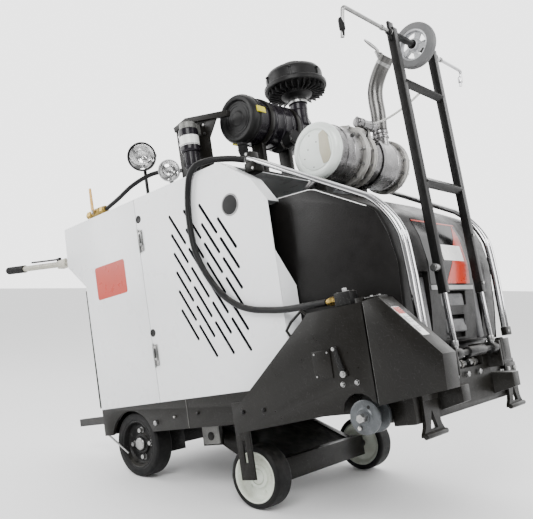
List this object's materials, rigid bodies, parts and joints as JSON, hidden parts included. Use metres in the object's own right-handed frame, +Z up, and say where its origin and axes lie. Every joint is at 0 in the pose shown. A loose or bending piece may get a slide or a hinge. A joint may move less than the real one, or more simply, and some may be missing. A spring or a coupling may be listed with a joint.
{
  "type": "walk-behind floor saw",
  "caption": "Diesel walk-behind concrete floor saw with side blade guard, louvred cowl, four wheels and a folding cutting pointer, standing nose-up.",
  "frame": {"origin": "centre of the bounding box at ground level, cords left out", "axes": "+X forward towards the pointer, +Y to the operator's left, +Z up"},
  "size_m": [2.4398, 0.972, 1.7044],
  "materials": {
    "black_paint": "satin",
    "white_paint": "satin",
    "dark_steel": "satin",
    "tyre": "matte",
    "hub_dark": "satin",
    "hub_cream": "satin",
    "chrome": "polished",
    "steel": "satin",
    "canister": "satin",
    "engine": "matte",
    "black_plastic": "matte",
    "tank": "satin",
    "rubber": "matte",
    "brass": "satin",
    "yellow": "satin",
    "red_button": "gloss",
    "handle": "satin",
    "rope": "matte"
  },
  "bodies": {
    "chassis": {"air_cleaner": "black_plastic", "air_cleaner_cover": "black_plastic", "control_panel": "dark_steel", "cowl_shell": "white_paint", "dust_valve": "rubber", "engine_block": "engine", "exhaust_canister": "canister", "exhaust_stack": "steel", "filter_bracket": "black_paint", "frame": "black_paint", "front_beam": "black_paint", "front_foot_L": "black_paint", "front_foot_R": "black_paint", "fuel_filter": "black_plastic", "fuel_tank": "tank", "guard_bracket": "black_paint", "guard_rail_L": "chrome", "guard_rail_R": "chrome", "guard_rear": "black_paint", "guard_valve": "brass", "lift_barrel": "dark_steel", "pointer_rope": "rope", "precleaner": "black_plastic", "radiator": "dark_steel", "rear_axle": "dark_steel", "side_door_L": "white_paint", "side_door_R": "white_paint", "valve_body": "brass", "valve_hose": "rubber", "water_hose": "rubber"},
    "rear_wheel_R": {"rear_tyre_R": "tyre", "rear_hub_R": "hub_dark"},
    "rear_wheel_L": {"rear_tyre_L": "tyre", "rear_hub_L": "hub_dark"},
    "front_wheel_R": {"front_tyre_R": "tyre", "front_hub_R": "hub_cream"},
    "front_wheel_L": {"front_tyre_L": "tyre", "front_hub_L": "hub_cream"},
    "carriage": {"axle_carriage": "black_paint"},
    "lift_piston": {"lift_rod": "chrome"},
    "latch_top": {"latch_upper": "steel"},
    "latch_bottom": {"latch_lower": "steel"},
    "stop": {"stop_button": "red_button"},
    "speed": {"speed_lever": "dark_steel"},
    "handle_R": {"handlebar_R": "handle"},
    "handle_L": {"handlebar_L": "handle"},
    "fan": {"cooling_fan": "black_plastic"},
    "cap": {"rain_cap": "steel"},
    "lamp_rear": {"work_lamp_rear": "dark_steel"},
    "lamp_front": {"work_lamp_front": "dark_steel"},
    "valve_lever": {"valve_handle": "yellow"},
    "guard_flap": {"guard_front": "black_paint"},
    "guard_lever": {"guard_latch": "dark_steel"},
    "blade": {"blade_shaft": "steel", "blade_flange": "steel"},
    "pointer": {"pointer_pivot": "chrome"},
    "ladder": {"pointer_ladder": "black_paint"},
    "guide_wheel": {"pointer_wheel": "tyre"},
    "guide_rod_R": {"pointer_rod_R": "steel"},
    "guide_rod_L": {"pointer_rod_L": "steel"}
  },
  "joints": [
    {"name": "rear_wheel_R_spin", "type": "hinge", "parent": "chassis", "child": "rear_wheel_R", "pos_m": [-0.146, -0.3295, 0.127], "axis": [0, 1, 0], "continuous": true},
    {"name": "rear_wheel_L_spin", "type": "hinge", "parent": "chassis", "child": "rear_wheel_L", "pos_m": [-0.146, 0.3415, 0.127], "axis": [0, 1, 0], "continuous": true},
    {"name": "carriage_swing", "type": "hinge", "parent": "chassis", "child": "carriage", "pos_m": [0.17732, 0.006, 0.19306], "axis": [0, -1, 0], "range_deg": [0, 30]},
    {"name": "front_wheel_R_spin", "type": "hinge", "parent": "carriage", "child": "front_wheel_R", "pos_m": [0.4682, -0.32115, 0.1082], "axis": [0, 1, 0], "continuous": true},
    {"name": "front_wheel_L_spin", "type": "hinge", "parent": "carriage", "child": "front_wheel_L", "pos_m": [0.4682, 0.33315, 0.1082], "axis": [0, 1, 0], "continuous": true},
    {"name": "lift_piston_slide", "type": "slide", "parent": "chassis", "child": "lift_piston", "axis": [0.9798, 0, 0.2002], "range_m": [-0.085, 0]},
    {"name": "latch_top_turn", "type": "hinge", "parent": "chassis", "child": "latch_top", "pos_m": [-0.10559, -0.3875, 0.92831], "axis": [0.2002, 0, -0.9798], "range_deg": [0, 70]},
    {"name": "latch_bottom_turn", "type": "hinge", "parent": "chassis", "child": "latch_bottom", "pos_m": [-0.01651, -0.3875, 0.49232], "axis": [0.2002, 0, -0.9798], "range_deg": [0, 70]},
    {"name": "stop_press", "type": "slide", "parent": "chassis", "child": "stop", "axis": [0.9798, 0, 0.2002], "range_m": [0, 0.004], "stiffness_N_per_m": 400, "springref_m": -0.002},
    {"name": "speed_swing", "type": "hinge", "parent": "chassis", "child": "speed", "pos_m": [-0.63752, 0.046, 0.89413], "axis": [0, 1, 0], "range_deg": [-12, 12]},
    {"name": "handle_R_slide", "type": "slide", "parent": "chassis", "child": "handle_R", "axis": [0.9798, 0, 0.2002], "range_m": [-0.15, 0.03]},
    {"name": "handle_L_slide", "type": "slide", "parent": "chassis", "child": "handle_L", "axis": [0.9798, 0, 0.2002], "range_m": [-0.15, 0.03]},
    {"name": "fan_spin", "type": "hinge", "parent": "chassis", "child": "fan", "pos_m": [0.59765, 0.006, 0.74845], "axis": [0.9798, 0, 0.2002], "continuous": true},
    {"name": "cap_swing", "type": "hinge", "parent": "chassis", "child": "cap", "pos_m": [0.61059, 0.181, 1.64417], "axis": [0, 1, 0], "range_deg": [0, 145]},
    {"name": "lamp_rear_swivel", "type": "hinge", "parent": "chassis", "child": "lamp_rear", "pos_m": [-0.2228, -0.2345, 1.07583], "axis": [-0.2002, 0, 0.9798], "range_deg": [-60, 60]},
    {"name": "lamp_front_swivel", "type": "hinge", "parent": "chassis", "child": "lamp_front", "pos_m": [-0.03919, -0.2699, 1.11335], "axis": [-0.2002, 0, 0.9798], "range_deg": [-30, 40]},
    {"name": "valve_lever_turn", "type": "hinge", "parent": "chassis", "child": "valve_lever", "pos_m": [-0.45918, -0.3445, 1.0653], "axis": [0, -1, 0], "range_deg": [0, 90]},
    {"name": "guard_flap_swing", "type": "hinge", "parent": "chassis", "child": "guard_flap", "pos_m": [0.95653, -0.424, 0.72788], "axis": [0, -1, 0], "range_deg": [0, 95]},
    {"name": "guard_lever_turn", "type": "hinge", "parent": "chassis", "child": "guard_lever", "pos_m": [0.90545, -0.472, 0.51331], "axis": [0, 1, 0], "range_deg": [-20, 90]},
    {"name": "blade_spin", "type": "hinge", "parent": "chassis", "child": "blade", "pos_m": [0.97075, 0.006, 0.39601], "axis": [0, 1, 0], "continuous": true},
    {"name": "pointer_swing", "type": "hinge", "parent": "chassis", "child": "pointer", "pos_m": [1.08873, 0.006, 0.5579], "axis": [0, 1, 0], "range_deg": [0, 120]},
    {"name": "ladder_slide", "type": "slide", "parent": "pointer", "child": "ladder", "axis": [-0.2266, 0, 0.974], "range_m": [-0.08, 0.3]},
    {"name": "guide_wheel_spin", "type": "hinge", "parent": "ladder", "child": "guide_wheel", "pos_m": [0.85235, 0.018, 1.57415], "axis": [0, 1, 0], "continuous": true},
    {"name": "guide_rod_R_slide", "type": "slide", "parent": "ladder", "child": "guide_rod_R", "axis": [0, -1, 0], "range_m": [-0.015, 0.08]},
    {"name": "guide_rod_L_slide", "type": "slide", "parent": "ladder", "child": "guide_rod_L", "axis": [0, 1, 0], "range_m": [-0.015, 0.08]}
  ],
  "couplings": [
    {"joint": "lift_piston_slide", "follows": "carriage_swing", "m_per_rad": -0.1581}
  ]
}
